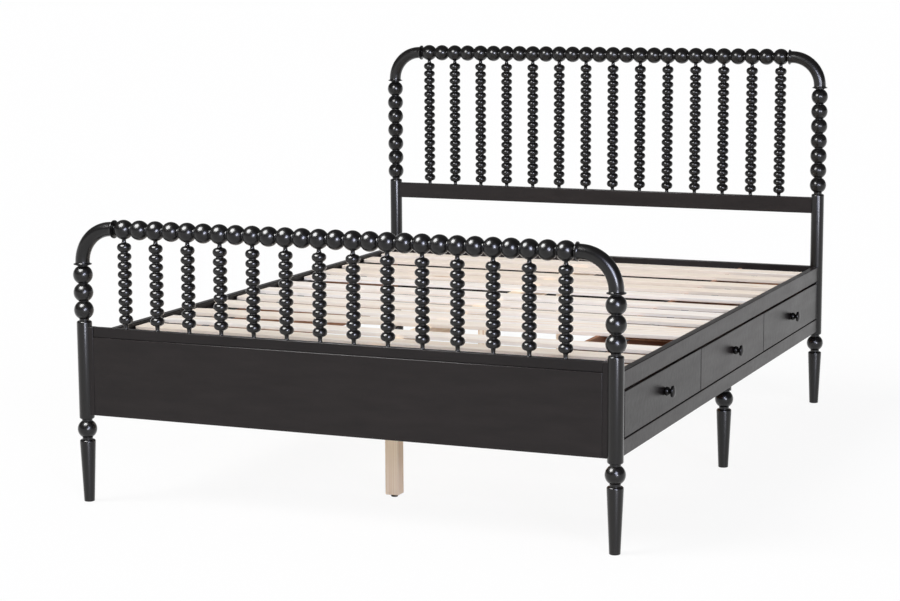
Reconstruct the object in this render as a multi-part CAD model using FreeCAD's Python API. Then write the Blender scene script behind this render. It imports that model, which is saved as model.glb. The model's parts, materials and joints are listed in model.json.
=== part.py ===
import FreeCAD, Part
import math
import os

V = FreeCAD.Vector

# Full size mattress, and the room left round it
mattress_width = 1372.0
mattress_length = 1905.0
side_room = 18.0
end_room = 14.5

# Boards between the posts
board_thickness = 20.0
board_ease = 1.5
board_bottom = 228.5
board_height = 202.5
cap_height = 26.0
cap_recess = 2.0
stile_show = 13.0
head_rail_bottom = 597.0
head_rail_height = 48.5

# Posts: a plain cylinder with turned beads above it
post_radius = 19.5
post_ease = 4.8
post_bottom = 216.5
foot_post_stand = 14.5
head_post_stand = 11.0
foot_post_beads = 3
head_post_beads = 7
first_bead_rise = 27.5

# Large beads of the posts and top rails
rail_beads = 27
bead_radius = 25.2
neck_radius = 12.5
neck_land = 1.6

# Bent corners with a flared collar at each end
bend_radius = 88.0
tube_radius = 18.4
post_collar_length = 9.5
rail_collar_length = 12.5
collar_radius = 23.2
collar_rim = 2.2
collar_rise = 3.8

# Spindles: disc beads on a string, the end ones taller, then a shoulder, a slim neck and a flared foot
spindle_radius = 18.2
spindle_groove = 9.8
spindle_land = 3.2
spindle_shoulder = 9.2
spindle_end_reach = 10.5
spindle_end_extra = 1.6
spindle_cove = 5.2
spindle_neck = 5.4
spindle_foot_radius = 7.2
spindle_foot_height = 3.4
tenon_radius = 4.5
tenon_length = 14.0

# Turned legs: a ball over a tapered foot
leg_foot_radius = 13.6
leg_foot_ease = 1.0
leg_shoulder_radius = 20.4
leg_shoulder = 162.5
leg_ball_radius = 25.0
leg_ball = 190.0
leg_neck = 13.5
middle_leg_inset = 15.5
middle_leg_stub = 14.0
leg_block_depth = 36.0
leg_block_height = 36.0
leg_block_length = 80.0
leg_bolt_radius = 4.0
leg_bolt_half = 28.0

# Loose dowels between posts, corners and top rails
dowel_radius = 5.0
dowel_half = 22.0

# Slat deck and its supports: sets of strapped slats, with one slat that has swung off its strap
slat_sets = [4, 4, 3, 2]
slat_pitch = 134.0
slat_width = 69.0
slat_thickness = 9.0
slat_ease = 2.0
slat_drop = 7.5
slat_side_gap = 5.0
slat_end_gap = 81.5
askew_slat = 3
askew_angle = 3.8
ledge_width = 30.0
ledge_height = 20.0
ledge_end_gap = 7.0
strap_width = 20.0
strap_thickness = 1.5
strap_inset = 144.0
strap_end = 17.0
beam_width = 40.0
beam_height = 34.0
center_leg_width = 37.0
center_leg_ease = 2.0
center_leg_inset = 324.0
hanger_plate = 2.0
hanger_depth = 32.0
hanger_height = 29.0
hanger_ear = 18.0

# Levelling feet under the centre legs
leveller_radius = 9.0
leveller_pad = 5.0
leveller_neck = 0.5
leveller_stem_radius = 4.0
leveller_stem_length = 40.0
insert_flange_radius = 9.0
insert_flange = 1.5
insert_radius = 5.4
insert_length = 12.0

# Corner braces of bent steel and their screws
brace_plate = 3.0
brace_cut = 34.0
brace_flange = 30.0
brace_height = 28.0
brace_lift = 4.0
screw_radius = 2.5
screw_length = 15.0
screw_head_radius = 5.0
screw_head = 3.0

# Drawer side of the frame
drawer_top_rail = 44.0
drawer_bottom_rail = 39.5
drawer_stile_show = 17.3
drawer_count = 3
drawer_gap = 3.5
drawer_gap_low = 3.0
drawer_gap_top = 5.6
partition_thickness = 15.0
case_depth = 244.0
case_back_thickness = 12.0
case_back_drop = 160.0

# Drawer boxes
front_thickness = 18.0
front_ease = 1.0
drawer_back_room = 26.0
drawer_wall = 12.0
drawer_wall_height = 82.0
drawer_wall_lift = 9.0
drawer_bottom_thickness = 5.0
drawer_bottom_lift = 8.0
groove_depth = 5.0

# Telescopic drawer slides: a channel on the case and a runner on the drawer
slide_thickness = 12.5
slide_height = 35.0
slide_gauge = 1.2
slide_lift = 22.0

# Turned knobs: a bulging base, a waist, and a domed head with a rounded rim
knob_foot_radius = 8.5
knob_base_radius = 11.2
knob_base_rise = 5.5
knob_base_fall = 8.5
knob_waist_radius = 5.8
knob_flare = 4.0
knob_head_radius = 14.8
knob_rim = 6.0
knob_rim_drop = 1.0
knob_dome = 3.0
knob_tip_radius = 1.0
knob_screw_radius = 2.0
knob_screw_head_radius = 4.2
knob_screw_head = 2.5
knob_screw_grip = 13.0

# Clearances
joint_clear = 0.2
hole_clear = 0.1
slide_clear = 0.3
seat_clear = 0.05
hole_spare = 1.0
pocket_web = 1.0

# Places that follow from the sizes above
post_x = mattress_width / 2 + side_room + board_thickness / 2
post_y = mattress_length / 2 + end_room + board_thickness / 2
side_inner = post_x - board_thickness / 2
side_outer = post_x + board_thickness / 2
end_inner = post_y - board_thickness / 2
board_seat = board_thickness / 2 + pocket_web
board_show = math.sqrt(post_radius ** 2 - (board_thickness / 2) ** 2)
board_top = board_bottom + board_height
cap_top = board_top + cap_height
head_rail_top = head_rail_bottom + head_rail_height

rail_half = post_x - bend_radius - rail_collar_length
bead_pitch = 2 * rail_half / rail_beads
bead_reach = (bead_pitch - neck_land) / 2
disc_pitch = bead_pitch / 2
disc_reach = (disc_pitch - spindle_land) / 2
spindle_count = (rail_beads + 1) // 2
spindle_end = spindle_end_reach + spindle_cove + spindle_foot_height

foot_cylinder_top = cap_top + foot_post_stand
head_cylinder_top = head_rail_top + head_post_stand

deck_top = board_top - slat_drop
deck_bottom = deck_top - slat_thickness
slat_span = 2 * (end_inner - slat_end_gap) - slat_width
strapped_span = sum(count - 1 for count in slat_sets) * slat_pitch
set_step = (slat_span - strapped_span) / (len(slat_sets) - 1)
strap_x = side_inner - strap_inset
ledge_bottom = deck_bottom - ledge_height
beam_bottom = deck_bottom - beam_height
center_leg_bottom = leveller_pad + leveller_neck + insert_flange
center_leg_y = end_inner - center_leg_inset
center_leg_places = [-center_leg_y, 0, center_leg_y]

opening_half = post_y - board_show - drawer_stile_show
front_width = (2 * opening_half - (drawer_count + 1) * drawer_gap) / drawer_count
drawer_pitch = front_width + drawer_gap
drawer_places = [(i - (drawer_count - 1) / 2) * drawer_pitch for i in range(drawer_count)]
drawer_names = ["foot", "middle", "head"]
bay_half = (drawer_pitch - partition_thickness) / 2
box_half = bay_half - slide_thickness
front_bottom = board_bottom + drawer_bottom_rail + drawer_gap_low
front_top = board_top - drawer_top_rail - drawer_gap_top
front_inner = side_outer - front_thickness
knob_z = (front_bottom + front_top) / 2
box_bottom = front_bottom + drawer_wall_lift
box_top = box_bottom + drawer_wall_height
case_back = side_outer - case_depth
box_back = case_back + drawer_back_room
partition_bottom = board_bottom + drawer_bottom_rail + joint_clear
slide_z = box_bottom + slide_lift
slide_length = side_inner - box_back

nodes = {}


def add(name, *solids):
    """Keep the solids of one named node."""
    nodes[name] = list(solids)


def block(low, high):
    """Plain box between two corners."""
    size = V(*high) - V(*low)
    return Part.makeBox(size.x, size.y, size.z, V(*low))


def board(low, high, along, ease=board_ease):
    """Box whose four edges along X, Y or Z are eased."""
    shape = block(low, high)
    way = {"x": V(1, 0, 0), "y": V(0, 1, 0), "z": V(0, 0, 1)}[along]
    edges = [e for e in shape.Edges if abs(e.tangentAt(e.FirstParameter).dot(way)) > 0.99]
    return shape.makeFillet(ease, edges)


def rod(radius, start, end):
    """Round rod between two points."""
    axis = V(*end) - V(*start)
    return Part.makeCylinder(radius, axis.Length, V(*start), axis)


def cut(shape, tools):
    """Shape with every tool taken out, as one solid."""
    return shape.cut(tools).Solids[0]


def turned(steps):
    """Solid turned about Z. A step is a line to (r, z), or an arc by way of (r, z) to (r, z)."""
    here = V(steps[0][0], 0, steps[0][1])
    start = V(0, 0, here.z)
    edges = [Part.makeLine(start, here)]
    for step in steps[1:]:
        there = V(step[-2], 0, step[-1])
        if len(step) == 4:
            edges.append(Part.Arc(here, V(step[0], 0, step[1]), there).toShape())
        else:
            edges.append(Part.makeLine(here, there))
        here = there
    end = V(0, 0, here.z)
    edges.append(Part.makeLine(here, end))
    edges.append(Part.makeLine(end, start))
    return Part.Face(Part.Wire(edges)).revolve(start, V(0, 0, 1), 360)


def arc_middle(z, crown, groove, reach):
    """Middle of the arc that leaves a bead's crown level and ends in its groove, reach away."""
    drop = crown - groove
    radius = (drop ** 2 + reach ** 2) / (2 * drop)
    turn = math.atan2(reach, radius - drop) / 2
    return crown - radius + radius * math.cos(turn), z + radius * math.sin(turn)


def bead(z, crown, low, high):
    """Steps of one bead from its lower groove (radius, reach) over the crown to its upper groove."""
    rise = arc_middle(z, crown, low[0], -low[1]) + (crown, z)
    fall = arc_middle(z, crown, high[0], high[1]) + (high[0], z + high[1])
    return [rise, fall]


def cove_middle(wide, slim, base, height):
    """Middle of the hollow between a wide end at base and a slim neck, height away."""
    share = 1 - math.sqrt(0.5)
    return slim + (wide - slim) * share, base + height * share


def round_over(radius, ease, z, way):
    """Quarter round at the edge of a cylinder: out and up with way 1, in and up with way -1."""
    share = ease * (1 - math.sqrt(0.5))
    middle = (radius - share, z + way * share)
    end = (radius, z + ease) if way > 0 else (radius - ease, z)
    return middle + end


def laid_along_x(shape, side):
    """Turn a piece made along +Z so that it points along X, to the given side."""
    return shape.rotated(V(0, 0, 0), V(0, 1, 0), 90 * side)


def post_end(cylinder_top, beads):
    """Height of a post's end face, half a pitch above its last bead."""
    return cylinder_top + first_bead_rise + beads * bead_pitch - bead_pitch / 2


def rail_height(cylinder_top, beads):
    """Height of the top rail's axis over a post."""
    return post_end(cylinder_top, beads) + post_collar_length + bend_radius


def screw(place, way):
    """Pan head screw whose head sits at place, with its shank along way."""
    drive = V(*way)
    seat = V(*place)
    shank = Part.makeCylinder(screw_radius, screw_length, seat, drive)
    head = Part.makeCylinder(screw_head_radius, screw_head, seat - drive * screw_head, drive)
    return shank.fuse(head).removeSplitter()


def screw_hole(place, way):
    """Hole for a screw, through the plate under its head and into the board behind."""
    return Part.makeCylinder(screw_radius + hole_clear, screw_length + hole_spare, V(*place), V(*way))


# Turned posts with pockets for the boards that seat in them

def pocket(x, y, way, bottom, top):
    """Tool for the pocket that takes a board's end, on the X or the Y side of a post."""
    half = board_thickness / 2 + joint_clear
    low = bottom - joint_clear
    high = top + joint_clear
    deep = 2 * post_radius
    if way == "x":
        inner = [x - math.copysign(deep, x), x - math.copysign(board_seat, x)]
        return block((min(inner), y - half, low), (max(inner), y + half, high))
    inner = [y - math.copysign(deep, y), y - math.copysign(board_seat, y)]
    return block((x - half, min(inner), low), (x + half, max(inner), high))


def post(x, y, cylinder_top, beads, pockets):
    """Post with its beads, board pockets, and holes for the dowel above and the leg bolt below."""
    neck = (neck_radius, bead_reach)
    steps = [(post_radius - post_ease, post_bottom)]
    steps.append(round_over(post_radius, post_ease, post_bottom, 1))
    steps.append((post_radius, cylinder_top - post_ease))
    steps.append(round_over(post_radius, post_ease, cylinder_top, -1))
    steps.append((neck_radius, cylinder_top))
    for i in range(beads):
        z = cylinder_top + first_bead_rise + i * bead_pitch
        steps.append((neck_radius, z - bead_reach))
        steps += bead(z, bead_radius, neck, neck)
    end = post_end(cylinder_top, beads)
    steps.append((neck_radius, end))
    shape = turned(steps)
    shape.translate(V(x, y, 0))
    tools = [pocket(x, y, *place) for place in pockets]
    tools.append(rod(dowel_radius + hole_clear, (x, y, end - dowel_half - hole_spare), (x, y, end)))
    bolt_end = post_bottom + leg_bolt_half + hole_spare
    tools.append(rod(leg_bolt_radius + hole_clear, (x, y, post_bottom), (x, y, bolt_end)))
    return cut(shape, tools)


side_pocket = ("y", board_bottom, board_top)
foot_pockets = [side_pocket, ("x", board_bottom, cap_top)]
head_pockets = [side_pocket, ("x", board_bottom, board_top), ("x", head_rail_bottom, head_rail_top)]
for name, side in (("left", -1), ("right", 1)):
    x = side * post_x
    add(f"footboard_post_{name}", post(x, -post_y, foot_cylinder_top, foot_post_beads, foot_pockets))
    add(f"headboard_post_{name}", post(x, post_y, head_cylinder_top, head_post_beads, head_pockets))


# Bent corners, beaded top rails and the dowels between them

def collar(length):
    """Flared collar along +Z, from the neck of a bead to the bent tube."""
    rim_end = collar_rise + collar_rim
    steps = [(neck_radius, 0), (collar_radius, collar_rise), (collar_radius, rim_end)]
    steps.append(cove_middle(collar_radius, tube_radius, rim_end, length - rim_end) + (tube_radius, length))
    return turned(steps)


def corner(side, y, spring):
    """Quarter bend from a post's end face, at height spring, to the end face of the top rail."""
    x = side * post_x
    bend_z = spring + post_collar_length
    rail_z = bend_z + bend_radius
    lower = collar(post_collar_length).translated(V(x, y, spring))
    upper = laid_along_x(collar(rail_collar_length), side).translated(V(side * rail_half, y, rail_z))
    section = Part.makeCircle(tube_radius, V(x, y, bend_z), V(0, 0, 1))
    hub = V(x - side * bend_radius, y, bend_z)
    bend = Part.Face(Part.Wire(section)).revolve(hub, V(0, -side, 0), 90)
    shape = bend.fuse([lower, upper])
    deep = dowel_half + hole_spare
    bore = dowel_radius + hole_clear
    post_bore = rod(bore, (x, y, spring), (x, y, spring + deep))
    rail_bore = rod(bore, (side * rail_half, y, rail_z), (side * (rail_half + deep), y, rail_z))
    return cut(shape, [post_bore, rail_bore])


def spindle_x(i):
    """Place of a spindle under every second bead of the rail."""
    return (2 * i - spindle_count + 1) * bead_pitch


def top_rail(y, rail_z):
    """Beaded rail along X with blind holes for the spindles and the end dowels."""
    neck = (neck_radius, bead_reach)
    steps = [(neck_radius, -rail_half)]
    for i in range(rail_beads):
        z = i * bead_pitch + bead_pitch / 2 - rail_half
        steps.append((neck_radius, z - bead_reach))
        steps += bead(z, bead_radius, neck, neck)
    steps.append((neck_radius, rail_half))
    shape = laid_along_x(turned(steps), 1).translated(V(0, y, rail_z))
    low = rail_z - bead_radius - hole_spare
    high = rail_z - bead_radius + tenon_length + hole_spare
    places = [spindle_x(i) for i in range(spindle_count)]
    tools = [rod(tenon_radius + hole_clear, (x, y, low), (x, y, high)) for x in places]
    for side in (-1, 1):
        end = side * rail_half
        inner = side * (rail_half - dowel_half - hole_spare)
        tools.append(rod(dowel_radius + hole_clear, (end, y, rail_z), (inner, y, rail_z)))
    return cut(shape, tools)


def end_dowels(side, y, spring):
    """The two dowels of one corner."""
    x = side * post_x
    rail_z = spring + post_collar_length + bend_radius
    lower = rod(dowel_radius, (x, y, spring - dowel_half), (x, y, spring + dowel_half))
    inner = side * (rail_half - dowel_half)
    outer = side * (rail_half + dowel_half)
    return [lower, rod(dowel_radius, (inner, y, rail_z), (outer, y, rail_z))]


ends = {"footboard": (-post_y, foot_cylinder_top, foot_post_beads),
        "headboard": (post_y, head_cylinder_top, head_post_beads)}
dowels = []
for name, (y, cylinder_top, beads) in ends.items():
    spring = post_end(cylinder_top, beads)
    add(f"{name}_corners", *[corner(side, y, spring) for side in (-1, 1)])
    add(f"{name}_top_rail", top_rail(y, rail_height(cylinder_top, beads)))
    for side in (-1, 1):
        dowels += end_dowels(side, y, spring)
add("corner_dowels", *dowels)


# Spindles under the top rails

def spindle(base, rail_z):
    """Spindle from the rail below, at base, to the underside of a bead of the top rail."""
    bore = tenon_radius + hole_clear
    seat = rail_z - math.sqrt(bead_radius ** 2 - bore ** 2) - seat_clear
    last = rail_z - bead_radius - spindle_end
    room = last - base - spindle_end - 2 * spindle_end_extra
    inner_count = int(room / disc_pitch) - 1
    first = last - 2 * spindle_end_extra - (inner_count + 1) * disc_pitch
    inner = [first + spindle_end_extra + (i + 1) * disc_pitch for i in range(inner_count)]
    end = (spindle_shoulder, spindle_end_reach)
    groove = (spindle_groove, disc_reach)
    end_groove = (spindle_groove, disc_reach + spindle_end_extra)
    foot = cove_middle(spindle_foot_radius, spindle_neck, base, spindle_foot_height)
    head = cove_middle(spindle_foot_radius, spindle_neck, seat, -spindle_foot_height)
    low_z = first - spindle_end_reach
    high_z = last + spindle_end_reach
    steps = [(tenon_radius, base - tenon_length), (tenon_radius, base), (spindle_foot_radius, base)]
    steps.append(foot + (spindle_neck, base + spindle_foot_height))
    steps.append((spindle_neck, low_z - spindle_cove))
    run_in = cove_middle(spindle_shoulder, spindle_neck, low_z, -spindle_cove)
    steps.append(run_in + (spindle_shoulder, low_z))
    steps += bead(first, spindle_radius, end, end_groove)
    for z in inner:
        steps.append((spindle_groove, z - disc_reach))
        steps += bead(z, spindle_radius, groove, groove)
    steps.append((spindle_groove, last - disc_reach - spindle_end_extra))
    steps += bead(last, spindle_radius, end_groove, end)
    run_out = cove_middle(spindle_shoulder, spindle_neck, high_z, spindle_cove)
    steps.append(run_out + (spindle_neck, high_z + spindle_cove))
    steps.append((spindle_neck, seat - spindle_foot_height))
    steps.append(head + (spindle_foot_radius, seat))
    steps += [(tenon_radius, seat), (tenon_radius, seat + tenon_length)]
    return turned(steps)


spindle_bases = {"footboard": cap_top, "headboard": head_rail_top}
for name, (y, cylinder_top, beads) in ends.items():
    shape = spindle(spindle_bases[name], rail_height(cylinder_top, beads))
    add(f"{name}_spindles", *[shape.translated(V(spindle_x(i), y, 0)) for i in range(spindle_count)])


# Screws through the corner braces and beam hangers

def brace_screws(side, end):
    """Places and ways of the two screws of one corner brace."""
    z = board_bottom + brace_lift + brace_height / 2
    far = brace_cut + brace_flange / 2
    on_end = (side * (side_inner - far), end * (end_inner - brace_plate), z)
    on_side = (side * (side_inner - brace_plate), end * (end_inner - far), z)
    return [(on_end, (0, end, 0)), (on_side, (side, 0, 0))]


def hanger_screws(end):
    """Places and ways of the two screws of one beam hanger."""
    x = beam_width / 2 + hanger_plate + hanger_ear / 2
    z = beam_bottom + hanger_height / 2
    return [((s * x, end * (end_inner - hanger_plate), z), (0, end, 0)) for s in (-1, 1)]


screw_places = []
for end in (-1, 1):
    screw_places += hanger_screws(end)
    for side in (-1, 1):
        screw_places += brace_screws(side, end)
screw_holes = [screw_hole(*place) for place in screw_places]
add("bracket_screws", *[screw(*place) for place in screw_places])


# Boards of the headboard and footboard

def spindle_mortises(y, top):
    """Blind holes for the spindle tenons in the rail under them."""
    bore = tenon_radius + hole_clear
    places = [spindle_x(i) for i in range(spindle_count)]
    return [rod(bore, (x, y, top - tenon_length - hole_spare), (x, y, top)) for x in places]


half_board = board_thickness / 2
seat_x = post_x - board_seat
stile_x = post_x - board_show - stile_show

lower_rail = board((-seat_x, post_y - half_board, head_rail_bottom),
                   (seat_x, post_y + half_board, head_rail_top), "x")
add("headboard_lower_rail", cut(lower_rail, spindle_mortises(post_y, head_rail_top)))

head_panel = board((-seat_x, post_y - half_board, board_bottom),
                   (seat_x, post_y + half_board, board_top), "x")
add("headboard_panel", cut(head_panel, screw_holes))

cap = board((-stile_x, -post_y - half_board + cap_recess, board_top),
            (stile_x, -post_y + half_board - cap_recess, cap_top), "x")
add("footboard_cap_rail", cut(cap, spindle_mortises(-post_y, cap_top)))

foot_panel = board((-stile_x, -post_y - half_board, board_bottom),
                   (stile_x, -post_y + half_board, board_top), "x")
add("footboard_panel", cut(foot_panel, screw_holes))

stiles = []
for side in (-1, 1):
    low, high = sorted((side * stile_x, side * seat_x))
    stiles.append(board((low, -post_y - half_board, board_bottom),
                        (high, -post_y + half_board, cap_top), "z"))
add("footboard_stiles", *stiles)


# Turned legs and the bolts that hold them

def leg(x, y, top, stub):
    """Tapered leg with a ball, and over the ball a stub as wide as a post where one is wanted."""
    reach = math.sqrt(leg_ball_radius ** 2 - leg_neck ** 2)
    neck = (leg_neck, reach)
    steps = [(leg_foot_radius - leg_foot_ease, 0), (leg_foot_radius, leg_foot_ease)]
    steps.append((leg_shoulder_radius, leg_shoulder - post_ease))
    steps.append(round_over(leg_shoulder_radius, post_ease, leg_shoulder, -1))
    steps += [(leg_neck, leg_shoulder), (leg_neck, leg_ball - reach)]
    steps += bead(leg_ball, leg_ball_radius, neck, neck)
    steps.append((leg_neck, top - stub))
    if stub:
        steps += [(post_radius, top - stub), (post_radius, top)]
    shape = turned(steps).translated(V(x, y, 0))
    bolt_end = top - leg_bolt_half - hole_spare
    return cut(shape, [rod(leg_bolt_radius + hole_clear, (x, y, bolt_end), (x, y, top))])


def leg_bolt(x, y, z):
    """Hanger bolt, half in the leg and half in what it carries."""
    return rod(leg_bolt_radius, (x, y, z - leg_bolt_half), (x, y, z + leg_bolt_half))


def leg_bolt_hole(x, y, z):
    """Hole for the upper half of a hanger bolt."""
    return rod(leg_bolt_radius + hole_clear, (x, y, z), (x, y, z + leg_bolt_half + hole_spare))


middle_leg_x = post_x - middle_leg_inset
add("front_legs", *[leg(side * post_x, -post_y, post_bottom, 0) for side in (-1, 1)])
add("rear_legs", *[leg(side * post_x, post_y, post_bottom, 0) for side in (-1, 1)])
add("middle_legs", *[leg(side * middle_leg_x, 0, board_bottom, middle_leg_stub) for side in (-1, 1)])

bolts = [leg_bolt(sx * post_x, sy * post_y, post_bottom) for sx in (-1, 1) for sy in (-1, 1)]
bolts += [leg_bolt(side * middle_leg_x, 0, board_bottom) for side in (-1, 1)]
bolts += [leg_bolt(0, y, beam_bottom) for y in center_leg_places]
add("leg_bolts", *bolts)

middle_bolt_holes = [leg_bolt_hole(side * middle_leg_x, 0, board_bottom) for side in (-1, 1)]
leg_blocks = []
for side in (-1, 1):
    low, high = sorted((side * (side_inner - leg_block_depth), side * side_inner))
    shape = board((low, -leg_block_length / 2, board_bottom),
                  (high, leg_block_length / 2, board_bottom + leg_block_height), "y")
    leg_blocks.append(cut(shape, middle_bolt_holes))
add("middle_leg_blocks", *leg_blocks)


# Plain side rail, and the framed side that holds the drawers
seat_y = post_y - board_seat

side_rail = board((-side_outer, -seat_y, board_bottom), (-side_inner, seat_y, board_top), "y")
add("side_rail_left", cut(side_rail, screw_holes + middle_bolt_holes))

top_rail_bottom = board_top - drawer_top_rail
bottom_rail_top = board_bottom + drawer_bottom_rail
add("drawer_frame_top_rail",
    board((side_inner, -seat_y, top_rail_bottom), (side_outer, seat_y, board_top), "y"))
bottom_rail = board((side_inner, -seat_y, board_bottom), (side_outer, seat_y, bottom_rail_top), "y")
add("drawer_frame_bottom_rail", cut(bottom_rail, screw_holes + middle_bolt_holes))

frame_stiles = []
for end in (-1, 1):
    low, high = sorted((end * opening_half, end * seat_y))
    frame_stiles.append(board((side_inner, low, bottom_rail_top), (side_outer, high, top_rail_bottom), "z"))
add("drawer_frame_stiles", *frame_stiles)

ledges = []
for side in (-1, 1):
    low, high = sorted((side * (side_inner - ledge_width), side * side_inner))
    half = end_inner - ledge_end_gap
    ledges.append(board((low, -half, ledge_bottom), (high, half, deck_bottom), "y"))
add("slat_ledges", *ledges)


def corner_brace(side, end):
    """Steel strip bent twice, from an end board across the corner to a side board."""
    miter = brace_plate * (math.sqrt(2) - 1)
    near = side_inner - brace_cut
    turn = end_inner - brace_cut
    outline = [(near - brace_flange, end_inner), (near, end_inner), (side_inner, turn),
               (side_inner, turn - brace_flange), (side_inner - brace_plate, turn - brace_flange),
               (side_inner - brace_plate, turn - miter), (near - miter, end_inner - brace_plate),
               (near - brace_flange, end_inner - brace_plate)]
    z = board_bottom + brace_lift
    points = [V(side * x, end * y, z) for x, y in outline]
    face = Part.Face(Part.makePolygon(points + points[:1]))
    shape = face.extrude(V(0, 0, brace_height))
    return cut(shape, [screw_hole(*place) for place in brace_screws(side, end)])


add("corner_braces", *[corner_brace(side, end) for side in (-1, 1) for end in (-1, 1)])


# Slat deck

def slat(y, angle):
    """One slat across the bed, turned about its left end by an angle."""
    half = side_inner - slat_side_gap
    low = (-half, y - slat_width / 2, deck_bottom)
    high = (half, y + slat_width / 2, deck_top)
    return board(low, high, "x", slat_ease).rotated(V(-half, y, 0), V(0, 0, 1), angle)


slats = []
straps = []
y = -slat_span / 2
for count in slat_sets:
    first = y
    for i in range(count):
        y = first + i * slat_pitch
        slats.append(slat(y, askew_angle if len(slats) == askew_slat else 0))
    for side in (-1, 1):
        low = (side * strap_x - strap_width / 2, first - strap_end, deck_bottom - strap_thickness)
        high = (side * strap_x + strap_width / 2, y + strap_end, deck_bottom)
        straps.append(block(low, high))
    y += set_step
add("slats", *slats)
add("slat_straps", *straps)


# Centre beam, its hangers and its legs with levelling feet
beam_half = end_inner - hanger_plate
beam = board((-beam_width / 2, -beam_half, beam_bottom), (beam_width / 2, beam_half, deck_bottom), "y")
beam_tools = [leg_bolt_hole(0, y, beam_bottom) for y in center_leg_places]
add("center_beam", cut(beam, beam_tools))


def beam_hanger(end):
    """Steel saddle on an end board: a back plate with ears, two cheeks and a shelf."""
    cheek = beam_width / 2 + joint_clear
    outer = cheek + hanger_plate
    ear = outer + hanger_ear
    low = beam_bottom - hanger_plate
    high = beam_bottom + hanger_height
    front = end_inner - hanger_depth
    back = end_inner - hanger_plate
    section = [(outer, low), (outer, high), (cheek, high), (cheek, beam_bottom),
               (-cheek, beam_bottom), (-cheek, high), (-outer, high), (-outer, low)]
    points = [V(x, end * front, z) for x, z in section]
    saddle = Part.Face(Part.makePolygon(points + points[:1])).extrude(V(0, end * (back - front), 0))
    y0, y1 = sorted((end * back, end * end_inner))
    plate = block((-ear, y0, low), (ear, y1, high))
    shape = saddle.fuse(plate).removeSplitter()
    return cut(shape, [screw_hole(*place) for place in hanger_screws(end)])


add("beam_hangers", *[beam_hanger(end) for end in (-1, 1)])


def center_leg(y):
    """Square leg with holes for the bolt above and the threaded insert below."""
    half = center_leg_width / 2
    shape = board((-half, y - half, center_leg_bottom), (half, y + half, beam_bottom), "z", center_leg_ease)
    bolt_end = beam_bottom - leg_bolt_half - hole_spare
    bolt = rod(leg_bolt_radius + hole_clear, (0, y, bolt_end), (0, y, beam_bottom))
    insert_end = center_leg_bottom + insert_length + joint_clear
    insert = rod(insert_radius + hole_clear, (0, y, center_leg_bottom), (0, y, insert_end))
    stem_end = leveller_pad + leveller_stem_length + hole_spare
    stem = rod(leveller_stem_radius + hole_clear, (0, y, center_leg_bottom), (0, y, stem_end))
    return cut(shape, [bolt, insert, stem])


def leveller_insert(y):
    """Flanged threaded insert in the end of a centre leg."""
    low = center_leg_bottom - insert_flange
    steps = [(insert_flange_radius, low), (insert_flange_radius, center_leg_bottom),
             (insert_radius, center_leg_bottom), (insert_radius, center_leg_bottom + insert_length)]
    shape = turned(steps).translated(V(0, y, 0))
    bore = leveller_stem_radius + hole_clear
    return cut(shape, [rod(bore, (0, y, low), (0, y, center_leg_bottom + insert_length))])


def leveller(y):
    """Round pad on a threaded stem."""
    rim = leveller_pad / 4
    steps = [(leveller_radius - rim, 0), round_over(leveller_radius, rim, 0, 1)]
    steps += [(leveller_radius, leveller_pad - rim), round_over(leveller_radius, rim, leveller_pad, -1)]
    stem_end = leveller_pad + leveller_stem_length
    steps += [(leveller_stem_radius, leveller_pad), (leveller_stem_radius, stem_end)]
    return turned(steps).translated(V(0, y, 0))


add("center_legs", *[center_leg(y) for y in center_leg_places])
add("leveller_inserts", *[leveller_insert(y) for y in center_leg_places])
for name, y in zip(drawer_names, center_leg_places):
    add(f"leveller_{name}", leveller(y))


# Drawer case: a back along the bed, partitions, and the fixed slide channels
add("drawer_case_back",
    block((case_back - case_back_thickness, -end_inner, deck_bottom - case_back_drop),
          (case_back, end_inner, deck_bottom)))

partitions = []
for i in range(drawer_count + 1):
    y = (i - drawer_count / 2) * drawer_pitch
    partitions.append(block((case_back, y - partition_thickness / 2, partition_bottom),
                            (side_inner, y + partition_thickness / 2, ledge_bottom)))
add("drawer_partitions", *partitions)


def channel(wall, way, half, reach):
    """C section along X: a web on the wall and two flanges that reach away from it."""
    tip = wall + way * reach
    inner = wall + way * slide_gauge
    lip = half - slide_gauge
    section = [(wall, -half), (tip, -half), (tip, -lip), (inner, -lip),
               (inner, lip), (tip, lip), (tip, half), (wall, half)]
    points = [V(box_back, y, slide_z + z) for y, z in section]
    return Part.Face(Part.makePolygon(points + points[:1])).extrude(V(slide_length, 0, 0))


channel_half = slide_height / 2
channel_reach = slide_thickness - 2 * slide_gauge
runner_half = channel_half - slide_gauge - slide_clear
runner_reach = slide_thickness - slide_gauge - slide_clear
channels = []
for y in drawer_places:
    for way in (-1, 1):
        channels.append(channel(y + way * bay_half, -way, channel_half, channel_reach))
add("slide_channels", *channels)


# Drawers

def drawer_front(y):
    """Inset front with eased edges, a groove for the bottom and a hole for the knob screw."""
    half = front_width / 2
    shape = block((front_inner, y - half, front_bottom), (side_outer, y + half, front_top))
    outer = [e for e in shape.Edges if e.BoundBox.XMin > side_outer - front_ease]
    shape = shape.makeFillet(front_ease, outer)
    hole = rod(knob_screw_radius + hole_clear, (front_inner, y, knob_z), (side_outer, y, knob_z))
    return cut(shape, [hole, bottom_groove(y)])


def bottom_groove(y):
    """Tool for the groove that takes the drawer bottom on three sides."""
    half = box_half - drawer_wall + groove_depth + joint_clear
    low = box_bottom + drawer_bottom_lift - joint_clear
    high = box_bottom + drawer_bottom_lift + drawer_bottom_thickness + joint_clear
    front_end = front_inner + groove_depth + joint_clear
    return block((box_back - hole_spare, y - half, low), (front_end, y + half, high))


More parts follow.
